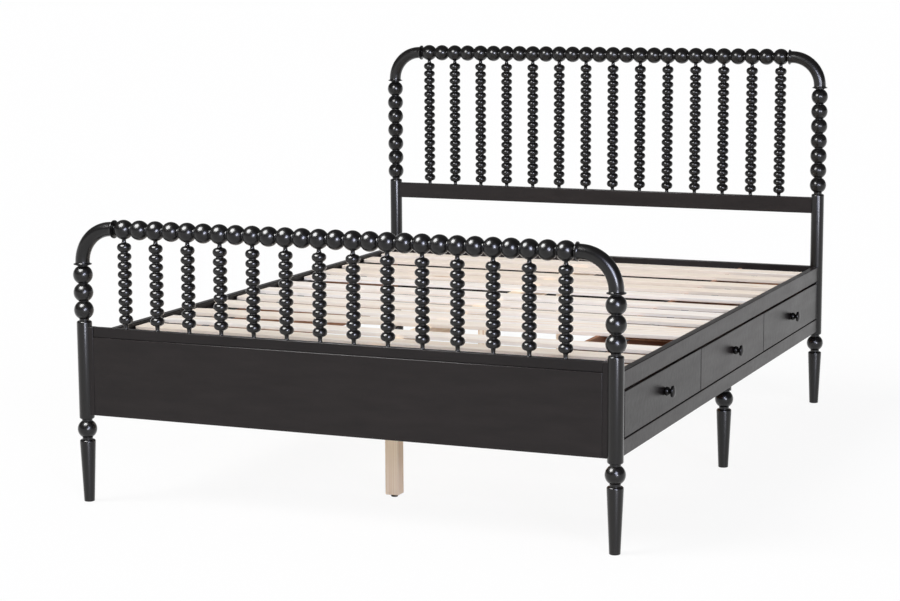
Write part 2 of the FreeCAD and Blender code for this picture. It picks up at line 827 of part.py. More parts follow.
def drawer_walls(y):
    """Two sides and a back between them, above the bottom."""
    sides = []
    for way in (-1, 1):
        low, high = sorted((y + way * (box_half - drawer_wall), y + way * box_half))
        side = block((box_back, low, box_bottom), (front_inner, high, box_top))
        sides.append(cut(side, [bottom_groove(y)]))
    half = box_half - drawer_wall
    back_bottom = box_bottom + drawer_bottom_lift + drawer_bottom_thickness
    back = block((box_back, y - half, back_bottom), (box_back + drawer_wall, y + half, box_top))
    return sides + [back]


def drawer_bottom(y):
    """Thin panel in the grooves of the sides and the front."""
    half = box_half - drawer_wall + groove_depth
    low = box_bottom + drawer_bottom_lift
    high = low + drawer_bottom_thickness
    return block((box_back, y - half, low), (front_inner + groove_depth, y + half, high))


def knob(y):
    """Turned knob: a bulging base on the front, a waist, and a domed head."""
    waist = knob_base_rise + knob_base_fall
    head = waist + knob_flare
    dome = head + knob_rim
    edge = knob_head_radius - knob_rim_drop
    steps = [(knob_foot_radius, 0)]
    steps += bead(knob_base_rise, knob_base_radius, (knob_foot_radius, knob_base_rise),
                  (knob_waist_radius, knob_base_fall))
    steps.append(cove_middle(edge, knob_waist_radius, head, -knob_flare) + (edge, head))
    steps.append((knob_head_radius, (head + dome) / 2, edge, dome))
    steps.append((edge / 2, dome + knob_dome * 3 / 4, knob_tip_radius, dome + knob_dome))
    shape = laid_along_x(turned(steps), 1).translated(V(side_outer, y, knob_z))
    hole_end = side_outer + knob_screw_grip + hole_spare
    return cut(shape, [rod(knob_screw_radius + hole_clear, (side_outer, y, knob_z), (hole_end, y, knob_z))])


def knob_screw(y):
    """Machine screw from inside the drawer into the knob."""
    shank = rod(knob_screw_radius, (front_inner, y, knob_z), (side_outer + knob_screw_grip, y, knob_z))
    head_inner = front_inner - knob_screw_head
    head = rod(knob_screw_head_radius, (head_inner, y, knob_z), (front_inner, y, knob_z))
    return shank.fuse(head).removeSplitter()


def runners(y):
    """Moving slide members on the drawer's sides."""
    return [channel(y + way * box_half, way, runner_half, runner_reach) for way in (-1, 1)]


for name, y in zip(drawer_names, drawer_places):
    add(f"drawer_{name}_front", drawer_front(y))
    add(f"drawer_{name}_walls", *drawer_walls(y))
    add(f"drawer_{name}_bottom", drawer_bottom(y))
    add(f"drawer_{name}_knob", knob(y))
    add(f"drawer_{name}_knob_screw", knob_screw(y))
    add(f"drawer_{name}_runners", *runners(y))

os.makedirs("parts", exist_ok=True)
for name, solids in nodes.items():
    Part.makeCompound(solids).exportStep(f"parts/{name}.step")
print(f"{len(nodes)} nodes, {sum(len(solids) for solids in nodes.values())} solids")
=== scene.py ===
import json
import math

import bpy
import numpy as np
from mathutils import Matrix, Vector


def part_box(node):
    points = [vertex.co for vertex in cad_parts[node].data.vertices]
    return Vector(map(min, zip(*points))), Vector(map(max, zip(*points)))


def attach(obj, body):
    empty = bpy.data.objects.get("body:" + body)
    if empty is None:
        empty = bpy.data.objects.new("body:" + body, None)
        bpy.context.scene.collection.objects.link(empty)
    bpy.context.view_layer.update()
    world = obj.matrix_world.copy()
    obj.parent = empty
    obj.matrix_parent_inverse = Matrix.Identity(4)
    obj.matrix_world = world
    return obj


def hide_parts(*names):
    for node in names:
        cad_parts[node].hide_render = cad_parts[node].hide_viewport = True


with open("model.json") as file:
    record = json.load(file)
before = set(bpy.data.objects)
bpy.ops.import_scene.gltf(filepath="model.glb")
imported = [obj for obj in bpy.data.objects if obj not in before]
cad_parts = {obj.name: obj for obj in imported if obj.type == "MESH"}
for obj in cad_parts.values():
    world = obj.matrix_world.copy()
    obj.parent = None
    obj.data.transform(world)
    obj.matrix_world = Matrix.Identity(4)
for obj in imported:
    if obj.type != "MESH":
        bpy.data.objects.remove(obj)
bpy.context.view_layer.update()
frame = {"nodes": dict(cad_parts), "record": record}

mm = 0.001
chance = np.random.default_rng(14)  # one seeded source, so each run draws the same wood
bedEnds = ("footboard", "headboard")
alongBed = ("foot", "middle", "head")  # where the drawers and the levelling feet are
print("frame loaded with", len(frame["nodes"]), "nodes")


# Shapes. Every piece is a closed tube: rings of points with a flat cap on the first and last ring.

def profile(*parts):
    # joins stretches of (radius, height) into one outline, in mm
    return np.concatenate([np.asarray(part, float).reshape(-1, 2) for part in parts])


def beadArc(height, crown, low, high, steps=8):
    # two arcs, level at the crown: r = crown - R + R cos a, h = height + R sin a, where R follows
    # from the drop to the groove and the reach along the axis
    stretches = []
    for (groove, reach), way in ((low, -1), (high, 1)):
        drop = crown - groove
        radius = (drop ** 2 + reach ** 2) / (2 * drop)
        turn = np.linspace(0, math.atan2(reach, radius - drop), steps)
        stretches.append(np.stack([crown - radius + radius * np.cos(turn),
                                   height + way * radius * np.sin(turn)], -1))
    return np.concatenate([stretches[0][::-1], stretches[1][1:]])


def cove(wide, slim, base, reach, steps=6):
    # hollow quarter ellipse from the wide end at base to the slim neck, reach away
    turn = np.linspace(0, math.pi / 2, steps)
    return np.stack([slim + (wide - slim) * (1 - np.sin(turn)),
                     base + reach * (1 - np.cos(turn))], -1)


def roundOver(radius, ease, height, way, steps=5):
    # quarter round on a cylinder's edge: out and up with way 1, in and up with way -1
    turn = np.linspace(0, math.pi / 2, steps)
    arc = np.stack([radius - ease * (1 - np.sin(turn)),
                    height + way * ease * (1 - np.cos(turn))], -1)
    return arc if way > 0 else arc[::-1]


turnedSegments = 48  # sides of a large turned piece


def ringed(path, u, v, outline, segments=turnedSegments):
    # ring at each point p of the path: p + r (u cos a + v sin a), with r from the outline in mm
    angle = np.arange(segments) * 2 * math.pi / segments
    circle = np.stack([np.cos(angle), np.sin(angle)], -1)
    radius, height = outline[:, 0, None, None] * mm, outline[:, 1, None, None] * mm
    ring = circle[None, :, :1] * u + circle[None, :, 1:] * v
    across = radius * circle
    along = np.broadcast_to(height, across[..., :1].shape)
    return {"points": path[:, None] + radius * ring, "grain": np.concatenate([along, across], -1)}


def spun(outline, place, way=(0, 0, 1), segments=turnedSegments):
    # the outline's heights run along way from place, and its radius turns about that line
    way = np.asarray(way, float)
    u = np.eye(3)[1 if way[0] else 0]
    path = np.asarray(place, float) + outline[:, 1:] * mm * way
    return ringed(path, u, np.cross(way, u), outline, segments)


boardRound = {"steps": 4, "thinShare": 0.45, "endShare": 0.9}


def easedBoard(low, high, axis, ease):
    # rounded rectangle of corner radius ease, carried along one axis and drawn in at each end by a
    # quarter round of endShare times that radius; thinShare limits the radius on a thin board
    order = [axis, (axis + 1) % 3, (axis + 2) % 3]
    low, high = np.asarray(low, float)[order], np.asarray(high, float)[order]
    radius = min(ease * mm, boardRound["thinShare"] * (high - low).min())
    steps = boardRound["steps"]
    turn = np.linspace(0, math.pi / 2, steps)
    corner = np.stack([np.cos(turn), np.sin(turn)], -1)
    quarters = [np.array(((c, -s), (s, c))) for c, s in ((1, 0), (0, 1), (-1, 0), (0, -1))]
    arcs = np.concatenate([corner @ quarter.T for quarter in quarters])
    signs = np.repeat(np.array(((1, 1), (-1, 1), (-1, -1), (1, -1)), float), steps, axis=0)
    half = (high[1:] - low[1:]) / 2
    hub = (high[1:] + low[1:]) / 2 + signs * (half - radius)
    draw = radius * boardRound["endShare"] * (1 - np.sin(turn))
    rise = radius * boardRound["endShare"] * (1 - np.cos(turn))
    reach = np.concatenate([low[0] + rise, high[0] - rise[::-1]])
    shrink = np.concatenate([draw, draw[::-1]])
    section = hub[None] + (radius - shrink)[:, None, None] * arcs[None]
    along = np.broadcast_to(reach[:, None, None], section[..., :1].shape)
    local = np.concatenate([along, section], -1)
    points = np.empty_like(local)
    points[..., order] = local
    smooth = np.ones((2 * steps - 1, 4 * steps), bool)
    smooth[steps - 1, steps - 1::steps] = False  # the planed faces stay flat between round edges
    return {"points": points, "grain": local, "smooth": smooth}


def turnedAbout(tube, centre, degrees):
    # the same tube turned about a vertical line
    c, s = math.cos(math.radians(degrees)), math.sin(math.radians(degrees))
    turn = np.array(((c, -s, 0), (s, c, 0), (0, 0, 1)))
    centre = np.asarray(centre, float)
    return tube | {"points": (tube["points"] - centre) @ turn.T + centre}


def pieceName(node):
    # side_rail_left becomes sideRailLeft
    first, *rest = node.split("_")
    return first + "".join(word.title() for word in rest)


# Edges of more than these degrees are sharp, and each tube is cut from anywhere in these mm of wood
meshRule = {"sharp": 38, "woodSpread": 4000}


def putPiece(node, tubes, finish, body="frame", added=False):
    # writes the tubes into one mesh, with the wood's own place in mm and a tint for each tube, in
    # place of the node unless the piece is an added one
    material, slotName = finish
    nodes = [] if added else [node]
    places, grains, tints, corners, sizes, smooths = [], [], [], [], [], []
    base = 0
    for tube in tubes:
        rows, columns = tube["points"].shape[:2]
        row = np.arange(rows - 1)[:, None] * columns + base
        here = np.arange(columns)[None]
        after = (here + 1) % columns
        quads = np.stack([row + here, row + after, row + columns + after, row + columns + here], -1)
        quadCount = quads.size // 4
        firstCap = base + np.arange(columns)[::-1]
        lastCap = base + (rows - 1) * columns + np.arange(columns)
        corners += [quads.ravel(), firstCap, lastCap]
        sizes += [np.full(quadCount, 4), np.array((columns, columns))]
        smooths += [tube.get("smooth", np.ones(quadCount, bool)).ravel(), np.zeros(2, bool)]
        places.append(tube["points"].reshape(-1, 3))
        cut = chance.uniform(0, meshRule["woodSpread"], 3)
        grains.append(tube["grain"].reshape(-1, 3) / mm + cut)
        tints.append(np.full(rows * columns, chance.uniform()))
        base += rows * columns
    corners, sizes = np.concatenate(corners), np.concatenate(sizes)
    grains, tints = np.concatenate(grains), np.concatenate(tints)
    mesh = bpy.data.meshes.new(pieceName(node))
    mesh.vertices.add(base)
    mesh.vertices.foreach_set("co", np.concatenate(places).ravel())
    mesh.loops.add(len(corners))
    mesh.loops.foreach_set("vertex_index", corners)
    mesh.polygons.add(len(sizes))
    mesh.polygons.foreach_set("loop_start", np.cumsum(sizes) - sizes)
    grainLayer = mesh.attributes.new("grain", "FLOAT_VECTOR", "POINT")
    grainLayer.data.foreach_set("vector", grains.ravel())
    tintLayer = mesh.attributes.new("tint", "FLOAT", "POINT")
    tintLayer.data.foreach_set("value", tints)
    mesh.update(calc_edges=True)
    mesh.set_sharp_from_angle(angle=math.radians(meshRule["sharp"]))
    mesh.polygons.foreach_set("use_smooth", np.concatenate(smooths))
    mesh.validate()
    mesh.materials.append(material)
    piece = bpy.data.objects.new(pieceName(node), mesh)
    bpy.context.scene.collection.objects.link(piece)
    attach(piece, body)
    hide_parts(*nodes)


# Materials

def linear(hexColour):
    # sRGB hex to linear light
    values = [int(hexColour[i:i + 2], 16) / 255 for i in (1, 3, 5)]
    return [v / 12.92 if v <= 0.04045 else ((v + 0.055) / 1.055) ** 2.4 for v in values] + [1.0]


def addNode(tree, kind, inputs=None, **settings):
    # one node with its own settings; inputs are values, or sockets of other nodes to link from
    node = tree.nodes.new(kind)
    for key, value in settings.items():
        setattr(node, key, value)
    for key, value in (inputs or {}).items():
        if isinstance(value, bpy.types.NodeSocket):
            tree.links.new(value, node.inputs[key])
        else:
            node.inputs[key].default_value = value
    return node


def newMaterial(name):
    # an empty material and its tree
    material = bpy.data.materials.new(name)
    material.use_nodes = True
    material.node_tree.nodes.clear()
    return material, material.node_tree


noiseRange = (0.3, 0.7)  # most of a noise's values lie between these two


def setRamp(node, places, hexColours):
    # where a ramp's two colours stand
    for element, place, hexColour in zip(node.color_ramp.elements, places, hexColours):
        element.position = place
        element.color = linear(hexColour)


def grainNoise(tree, grain, length, width, **settings):
    # noise drawn out along the wood: one cell is length mm by width mm
    scale = (1 / length, 1 / width, 1 / width)
    place = addNode(tree, "ShaderNodeVectorMath", {0: grain.outputs["Vector"], 1: scale},
                    operation="MULTIPLY")
    inputs = {"Vector": place.outputs[0], "Scale": 1.0, "Detail": 2.0}
    return addNode(tree, "ShaderNodeTexNoise", inputs | settings)


# Grain is (length, width) of one cell in mm, film is a cell's size in mm, and depths are in mm
lacquerFilm = {"ior": 1.5, "toneRange": (0.2, 0.8), "filmDepth": 1.0, "poreDepth": 0.4}
turnedLook = lacquerFilm | {
    "name": "blackLacquerOnTurnedWood", "deep": "#0c0b0b", "light": "#161413",
    "roughness": (0.28, 0.34), "specular": 0.2, "coat": 1.0, "coatIor": 1.28, "coatRoughness": 0.16,
    "streak": (160, 6), "pore": (18, 1.6), "poreBump": 0.03, "film": 9, "filmBump": 0.02}
boardLook = lacquerFilm | {
    "name": "blackLacquerOnBoards", "deep": "#151212", "light": "#262120",
    "roughness": (0.29, 0.35), "specular": 0.22, "coat": 0.0, "coatIor": 1.5, "coatRoughness": 0.2,
    "streak": (120, 22), "pore": (34, 1.8), "poreBump": 0.12, "film": 16, "filmBump": 0.45}
knobLook = turnedLook | {"name": "blackLacquerOnKnobs", "specular": 0.12, "coat": 0.35}


def blackLacquer(look):
    # Black lacquer sprayed on poplar: a clear soft gloss over a brown black, with the wood's
    # streaks and pores faint under the film, and a film that is never quite level
    material, tree = newMaterial(look["name"])
    grain = addNode(tree, "ShaderNodeAttribute", attribute_name="grain")
    tint = addNode(tree, "ShaderNodeAttribute", attribute_name="tint")
    streak = grainNoise(tree, grain, *look["streak"], Detail=4.0)
    pore = grainNoise(tree, grain, *look["pore"])  # real pores are 0.2 mm wide, wider here to show
    film = grainNoise(tree, grain, look["film"], look["film"])
    both = addNode(tree, "ShaderNodeMath", {0: streak.outputs["Fac"], 1: tint.outputs["Fac"]},
                   operation="ADD")
    mean = addNode(tree, "ShaderNodeMath", {0: both.outputs[0], 1: 0.5}, operation="MULTIPLY")
    colour = addNode(tree, "ShaderNodeValToRGB", {"Fac": mean.outputs[0]})
    setRamp(colour, look["toneRange"], (look["deep"], look["light"]))
    rough = addNode(tree, "ShaderNodeMapRange", {
        "Value": streak.outputs["Fac"], "From Min": noiseRange[0], "From Max": noiseRange[1],
        "To Min": look["roughness"][0], "To Max": look["roughness"][1]})
    level = addNode(tree, "ShaderNodeBump", {
        "Height": film.outputs["Fac"], "Strength": look["filmBump"],
        "Distance": look["filmDepth"] * mm})
    pitted = addNode(tree, "ShaderNodeBump", {
        "Height": pore.outputs["Fac"], "Strength": look["poreBump"],
        "Distance": look["poreDepth"] * mm, "Normal": level.outputs["Normal"]})
    shader = addNode(tree, "ShaderNodeBsdfPrincipled", {
        "Base Color": colour.outputs["Color"], "Roughness": rough.outputs["Result"],
        "IOR": look["ior"], "Specular IOR Level": look["specular"], "Coat Weight": look["coat"],
        "Coat IOR": look["coatIor"], "Coat Roughness": look["coatRoughness"],
        "Normal": pitted.outputs["Normal"], "Coat Normal": level.outputs["Normal"]})
    addNode(tree, "ShaderNodeOutputMaterial", {"Surface": shader.outputs["BSDF"]})
    return material


pineLook = {"roughness": 0.8, "specular": 0.12, "ring": (620, 8), "lineRange": (0.46, 0.72),
            "band": (900, 24), "heartRange": (0.85, 1.35), "heartShare": 0.75, "fibre": (90, 1.8),
            "fibreBump": 0.12, "fibreDepth": 0.4, "knotSpacing": (520, 95, 95), "knotRadius": 0.05,
            "knotEdge": 1.8, "knotShare": 0.8}
slatLook = pineLook | {"name": "planedPineSlats", "early": "#f5efe8", "late": "#ead8c4",
                       "heart": "#ecddcb", "knot": "#b98a62"}
legLook = pineLook | {"name": "planedPineLegs", "early": "#fdf2e0", "late": "#d6a97f",
                      "heart": "#f2dcbf", "knot": "#a87848", "ring": (420, 4.5)}


def planedPine(look):
    # Planed pine, unfinished: cream early wood with tan late-wood lines along the board, broad warm
    # bands of heartwood and a few small knots
    material, tree = newMaterial(look["name"])
    grain = addNode(tree, "ShaderNodeAttribute", attribute_name="grain")
    tint = addNode(tree, "ShaderNodeAttribute", attribute_name="tint")
    ring = grainNoise(tree, grain, *look["ring"], Detail=3.0, Distortion=0.4)
    band = grainNoise(tree, grain, *look["band"])
    fibre = grainNoise(tree, grain, *look["fibre"])
    lines = addNode(tree, "ShaderNodeValToRGB", {"Fac": ring.outputs["Fac"]})
    setRamp(lines, look["lineRange"], (look["early"], look["late"]))
    reddened = addNode(tree, "ShaderNodeMath", {0: band.outputs["Fac"], 1: tint.outputs["Fac"]},
                       operation="ADD")
    warm = addNode(tree, "ShaderNodeMapRange", {
        "Value": reddened.outputs[0], "From Min": look["heartRange"][0],
        "From Max": look["heartRange"][1], "To Min": 0.0, "To Max": look["heartShare"]})
    toned = addNode(tree, "ShaderNodeMix", {
        "Factor": warm.outputs["Result"], "A": lines.outputs["Color"],
        "B": linear(look["heart"])}, data_type="RGBA")
    knotScale = tuple(1 / size for size in look["knotSpacing"])
    knotPlace = addNode(tree, "ShaderNodeVectorMath", {0: grain.outputs["Vector"], 1: knotScale},
                        operation="MULTIPLY")
    knot = addNode(tree, "ShaderNodeTexVoronoi", {"Vector": knotPlace.outputs[0], "Scale": 1.0})
    edge = addNode(tree, "ShaderNodeMapRange", {
        "Value": knot.outputs["Distance"], "From Min": look["knotRadius"],
        "From Max": look["knotRadius"] * look["knotEdge"], "To Min": look["knotShare"],
        "To Max": 0.0})
    colour = addNode(tree, "ShaderNodeMix", {
        "Factor": edge.outputs["Result"], "A": toned.outputs["Result"],
        "B": linear(look["knot"])}, data_type="RGBA")
    bump = addNode(tree, "ShaderNodeBump", {
        "Height": fibre.outputs["Fac"], "Strength": look["fibreBump"],
        "Distance": look["fibreDepth"] * mm})
    shader = addNode(tree, "ShaderNodeBsdfPrincipled", {
        "Base Color": colour.outputs["Result"], "Roughness": look["roughness"],
        "Specular IOR Level": look["specular"], "Normal": bump.outputs["Normal"]})
    addNode(tree, "ShaderNodeOutputMaterial", {"Surface": shader.outputs["BSDF"]})
    return material


stainLook = {"dark": "#8c6047", "light": "#b68866", "roughness": 0.65, "specular": 0.2,
             "band": (300, 12), "bandBump": 0.1, "bandDepth": 0.4}


def stainedPlywood(look):
    # Brown stained plywood inside the drawers: flat sheen, broad soft bands along the face veneer
    material, tree = newMaterial("brownStainedPlywood")
    grain = addNode(tree, "ShaderNodeAttribute", attribute_name="grain")
    band = grainNoise(tree, grain, *look["band"], Detail=5.0)
    colour = addNode(tree, "ShaderNodeValToRGB", {"Fac": band.outputs["Fac"]})
    setRamp(colour, noiseRange, (look["dark"], look["light"]))
    bump = addNode(tree, "ShaderNodeBump", {
        "Height": band.outputs["Fac"], "Strength": look["bandBump"],
        "Distance": look["bandDepth"] * mm})
    shader = addNode(tree, "ShaderNodeBsdfPrincipled", {
        "Base Color": colour.outputs["Color"], "Roughness": look["roughness"],
        "Specular IOR Level": look["specular"], "Normal": bump.outputs["Normal"]})
    addNode(tree, "ShaderNodeOutputMaterial", {"Surface": shader.outputs["BSDF"]})
    return material


zincLook = {"dark": "#8c8f93", "light": "#b9bcc0", "roughness": (0.28, 0.42), "spangle": 4}


def zincPlatedSteel(look):
    # Bright zinc on pressed steel: cool grey metal with a faint cloudy spangle, its size in mm
    material, tree = newMaterial("zincPlatedSteel")
    place = addNode(tree, "ShaderNodeTexCoord")
    cloud = addNode(tree, "ShaderNodeTexNoise", {
        "Vector": place.outputs["Object"], "Scale": 1 / (look["spangle"] * mm), "Detail": 2.0})
    colour = addNode(tree, "ShaderNodeValToRGB", {"Fac": cloud.outputs["Fac"]})
    setRamp(colour, noiseRange, (look["dark"], look["light"]))
    rough = addNode(tree, "ShaderNodeMapRange", {
        "Value": cloud.outputs["Fac"], "To Min": look["roughness"][0],
        "To Max": look["roughness"][1]})
    shader = addNode(tree, "ShaderNodeBsdfPrincipled", {
        "Base Color": colour.outputs["Color"], "Roughness": rough.outputs["Result"],
        "Metallic": 1.0})
    addNode(tree, "ShaderNodeOutputMaterial", {"Surface": shader.outputs["BSDF"]})
    return material


plasticLook = {"dark": "#0e0e0e", "light": "#181818", "roughness": 0.5, "specular": 0.2,
               "grit": 0.6, "gritBump": 0.2, "gritDepth": 0.2}


def mouldedPlastic(look):
    # Moulded black polypropylene: dull, with a fine spark-eroded grit
    material, tree = newMaterial("mouldedBlackPolypropylene")
    place = addNode(tree, "ShaderNodeTexCoord")
    grit = addNode(tree, "ShaderNodeTexNoise", {
        "Vector": place.outputs["Object"], "Scale": 1 / (look["grit"] * mm)})
    colour = addNode(tree, "ShaderNodeValToRGB", {"Fac": grit.outputs["Fac"]})
    setRamp(colour, noiseRange, (look["dark"], look["light"]))
    bump = addNode(tree, "ShaderNodeBump", {
        "Height": grit.outputs["Fac"], "Strength": look["gritBump"],
        "Distance": look["gritDepth"] * mm})
    shader = addNode(tree, "ShaderNodeBsdfPrincipled", {
        "Base Color": colour.outputs["Color"], "Roughness": look["roughness"],
        "Specular IOR Level": look["specular"], "Normal": bump.outputs["Normal"]})
    addNode(tree, "ShaderNodeOutputMaterial", {"Surface": shader.outputs["BSDF"]})
    return material


# One rib of the webbing to one band of the wave, which comes at a scale of about 0.32
webbingLook = {"dark": "#121212", "light": "#2c2b2a", "roughness": 0.85, "rib": 2.5,
               "toneRange": (0.2, 0.8), "bandScale": 0.32, "waver": 0.3, "ribBump": 0.4,
               "ribDepth": 0.3}


def wovenWebbing(look):
    # Woven polypropylene webbing: matt black with cross ribs
    material, tree = newMaterial("wovenBlackWebbing")
    grain = addNode(tree, "ShaderNodeAttribute", attribute_name="grain")
    place = addNode(tree, "ShaderNodeVectorMath", {
        0: grain.outputs["Vector"], 1: (1 / look["rib"],) * 3}, operation="MULTIPLY")
    rib = addNode(tree, "ShaderNodeTexWave", {
        "Vector": place.outputs[0], "Scale": look["bandScale"], "Distortion": look["waver"]})
    colour = addNode(tree, "ShaderNodeValToRGB", {"Fac": rib.outputs["Fac"]})
    setRamp(colour, look["toneRange"], (look["dark"], look["light"]))
    bump = addNode(tree, "ShaderNodeBump", {
        "Height": rib.outputs["Fac"], "Strength": look["ribBump"],
        "Distance": look["ribDepth"] * mm})
    shader = addNode(tree, "ShaderNodeBsdfPrincipled", {
        "Base Color": colour.outputs["Color"], "Roughness": look["roughness"],
        "Normal": bump.outputs["Normal"]})
    addNode(tree, "ShaderNodeOutputMaterial", {"Surface": shader.outputs["BSDF"]})
    return material


beechLook = {"dark": "#b98d5e", "light": "#d9b388", "roughness": 0.6, "fleck": 2.2}


def plainBeech(look):
    # Plain beech dowel: pinkish tan with short flecks
    material, tree = newMaterial("plainBeech")
    place = addNode(tree, "ShaderNodeTexCoord")
    fleck = addNode(tree, "ShaderNodeTexNoise", {
        "Vector": place.outputs["Object"], "Scale": 1 / (look["fleck"] * mm)})
    colour = addNode(tree, "ShaderNodeValToRGB", {"Fac": fleck.outputs["Fac"]})
    setRamp(colour, noiseRange, (look["dark"], look["light"]))
    shader = addNode(tree, "ShaderNodeBsdfPrincipled", {
        "Base Color": colour.outputs["Color"], "Roughness": look["roughness"]})
    addNode(tree, "ShaderNodeOutputMaterial", {"Surface": shader.outputs["BSDF"]})
    return material


# Each finish is a material and the name of its slot; the hardware's materials are found by slot
turnedLacquer = (blackLacquer(turnedLook), "black_lacquer")
boardLacquer = (blackLacquer(boardLook), "black_lacquer")
knobLacquer = (blackLacquer(knobLook), "black_lacquer")
slatPine = (planedPine(slatLook), "pine")
legPine = (planedPine(legLook), "pine")
plywood = (stainedPlywood(stainLook), "drawer_wood")
plastic = (mouldedPlastic(plasticLook), "black_plastic")
webbing = (wovenWebbing(webbingLook), "webbing")
hardware = {"zinc_steel": zincPlatedSteel(zincLook), "beech": plainBeech(beechLook)}
print("materials made")


# Turned posts

def centreOf(node):
    # middle of a node's box
    low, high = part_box(node)
    return (np.array(low) + np.array(high)) / 2


beadSize = {"count": 27, "crown": 25.2, "neck": 12.5, "land": 1.6}
railLow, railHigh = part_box("headboard_top_rail")
beadPitch = (railHigh.x - railLow.x) / mm / beadSize["count"]
beadEnd = (beadSize["neck"], (beadPitch - beadSize["land"]) / 2)

postSize = {"radius": 19.5, "ease": 4.8, "bottom": 216.5, "firstBead": 27.5,
            "beads": {"footboard": 3, "headboard": 7}}
for end, beads in postSize["beads"].items():
    for side in ("left", "right"):
        node = f"{end}_post_{side}"
        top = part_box(node)[1].z / mm
        shaftTop = top - (beads - 0.5) * beadPitch - postSize["firstBead"]
        outline = [roundOver(postSize["radius"], postSize["ease"], postSize["bottom"], 1),
                   roundOver(postSize["radius"], postSize["ease"], shaftTop, -1),
                   (beadSize["neck"], shaftTop)]
        for i in range(beads):
            height = shaftTop + postSize["firstBead"] + i * beadPitch
            outline.append(beadArc(height, beadSize["crown"], beadEnd, beadEnd))
        outline.append((beadSize["neck"], top))
        x, y = centreOf(node)[:2]
        putPiece(node, [spun(profile(*outline), (x, y, 0))], turnedLacquer)
print("posts turned")


# Bent corners with flared collars

bendSize = {"radius": 88.0, "tube": 18.4, "postCollar": 9.5, "railCollar": 12.5, "rim": 23.2,
            "rimRise": 3.8, "rimThick": 2.2, "steps": 25}


def collarOutline(length):
    # neck, cone to the rim, and a cove to the tube
    size = bendSize
    rimEnd = size["rimRise"] + size["rimThick"]
    return profile((beadSize["neck"], 0), (size["rim"], size["rimRise"]), (size["rim"], rimEnd),
                   cove(size["rim"], size["tube"], rimEnd, length - rimEnd))


def cornerTube(end, side):
    # radius along the route: the post's collar, a quarter bend, and the rail's collar reversed
    size = bendSize
    x, y = centreOf(f"{end}_post_{'left' if side < 0 else 'right'}")[:2]
    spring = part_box(f"{end}_post_left")[1].z
    bendLength = size["radius"] * math.pi / 2
    total = size["postCollar"] + bendLength + size["railCollar"]
    bend = np.stack([np.full(size["steps"], size["tube"]),
                     size["postCollar"] + np.linspace(0, bendLength, size["steps"])], -1)
    far = collarOutline(size["railCollar"])[::-1]
    outline = profile(collarOutline(size["postCollar"]), bend[1:-1],
                      np.stack([far[:, 0], total - far[:, 1]], -1))
    s = outline[:, 1]
    turn = np.clip((s - size["postCollar"]) / size["radius"], 0, math.pi / 2)
    before = np.minimum(s, size["postCollar"])
    after = np.maximum(s - size["postCollar"] - bendLength, 0)
    inward = size["radius"] * (1 - np.cos(turn)) + after
    upward = before + size["radius"] * np.sin(turn)
    path = np.stack([x - side * inward * mm, np.full(len(s), y), spring + upward * mm], -1)
    forward = np.stack([-side * np.sin(turn), 0 * turn, np.cos(turn)], -1)
    level = np.array((0, 1.0, 0))
    return ringed(path, np.cross(level, forward)[:, None], level, outline)


for end in bedEnds:
    putPiece(f"{end}_corners", [cornerTube(end, side) for side in (-1, 1)], turnedLacquer)
print("corners bent")


# Beaded top rails

for end in bedEnds:
    node = f"{end}_top_rail"
    low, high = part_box(node)
    y, z = centreOf(node)[1:]
    half = (high.x - low.x) / mm / 2
    outline = [(beadSize["neck"], -half)]
    for i in range(beadSize["count"]):
        height = (i + 0.5) * beadPitch - half
        outline.append(beadArc(height, beadSize["crown"], beadEnd, beadEnd))
    outline.append((beadSize["neck"], half))
    putPiece(node, [spun(profile(*outline), (0, y, z), (1, 0, 0))], turnedLacquer)
print("top rails turned")


# Disc-bead spindles

spindleSize = {"crown": 18.2, "groove": 9.8, "land": 3.2, "shoulder": 9.2, "endReach": 10.5,
               "endExtra": 1.6, "cove": 5.2, "neck": 5.4, "foot": 7.2, "footReach": 3.4,
               "tenon": 14.0, "seat": 2.0, "arcSteps": 5, "segments": 30}


def spindleOutline(base, railHeight):
    # foot flare, neck, discs at half the large bead's pitch with a taller one at each end, and the
    # flare at the rail
    size = spindleSize
    pitch = beadPitch / 2
    reach = (pitch - size["land"]) / 2
    groove, endGroove = (size["groove"], reach), (size["groove"], reach + size["endExtra"])
    end = (size["shoulder"], size["endReach"])
    endLength = size["endReach"] + size["cove"] + size["footReach"]
    last = railHeight - beadSize["crown"] - endLength
    inner = int((last - base - endLength - 2 * size["endExtra"]) / pitch) - 1
    first = last - 2 * size["endExtra"] - (inner + 1) * pitch
    outline = [cove(size["foot"], size["neck"], base, size["footReach"]),
               cove(size["shoulder"], size["neck"], first - size["endReach"], -size["cove"])[::-1],
               beadArc(first, size["crown"], end, endGroove, size["arcSteps"])]
    for i in range(inner):
        height = first + size["endExtra"] + (i + 1) * pitch
        outline.append(beadArc(height, size["crown"], groove, groove, size["arcSteps"]))
    outline.append(beadArc(last, size["crown"], endGroove, end, size["arcSteps"]))
    outline.append(cove(size["shoulder"], size["neck"], last + size["endReach"], size["cove"])[1:])
    seat = railHeight - beadSize["crown"] + size["seat"]  # just inside the bead above
    outline.append(cove(size["foot"], size["neck"], seat, -size["footReach"])[::-1])
    return profile(*outline)


for end in bedEnds:
    node = f"{end}_spindles"
    y = centreOf(node)[1]
    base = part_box(node)[0].z / mm + spindleSize["tenon"]
    outline = spindleOutline(base, centreOf(f"{end}_top_rail")[2] / mm)
    count = (beadSize["count"] + 1) // 2
    places = (2 * np.arange(count) - count + 1) * beadPitch * mm
    tubes = [spun(outline, (x, y, 0), segments=spindleSize["segments"]) for x in places]
    putPiece(node, tubes, turnedLacquer)
print("spindles turned")


# Turned legs

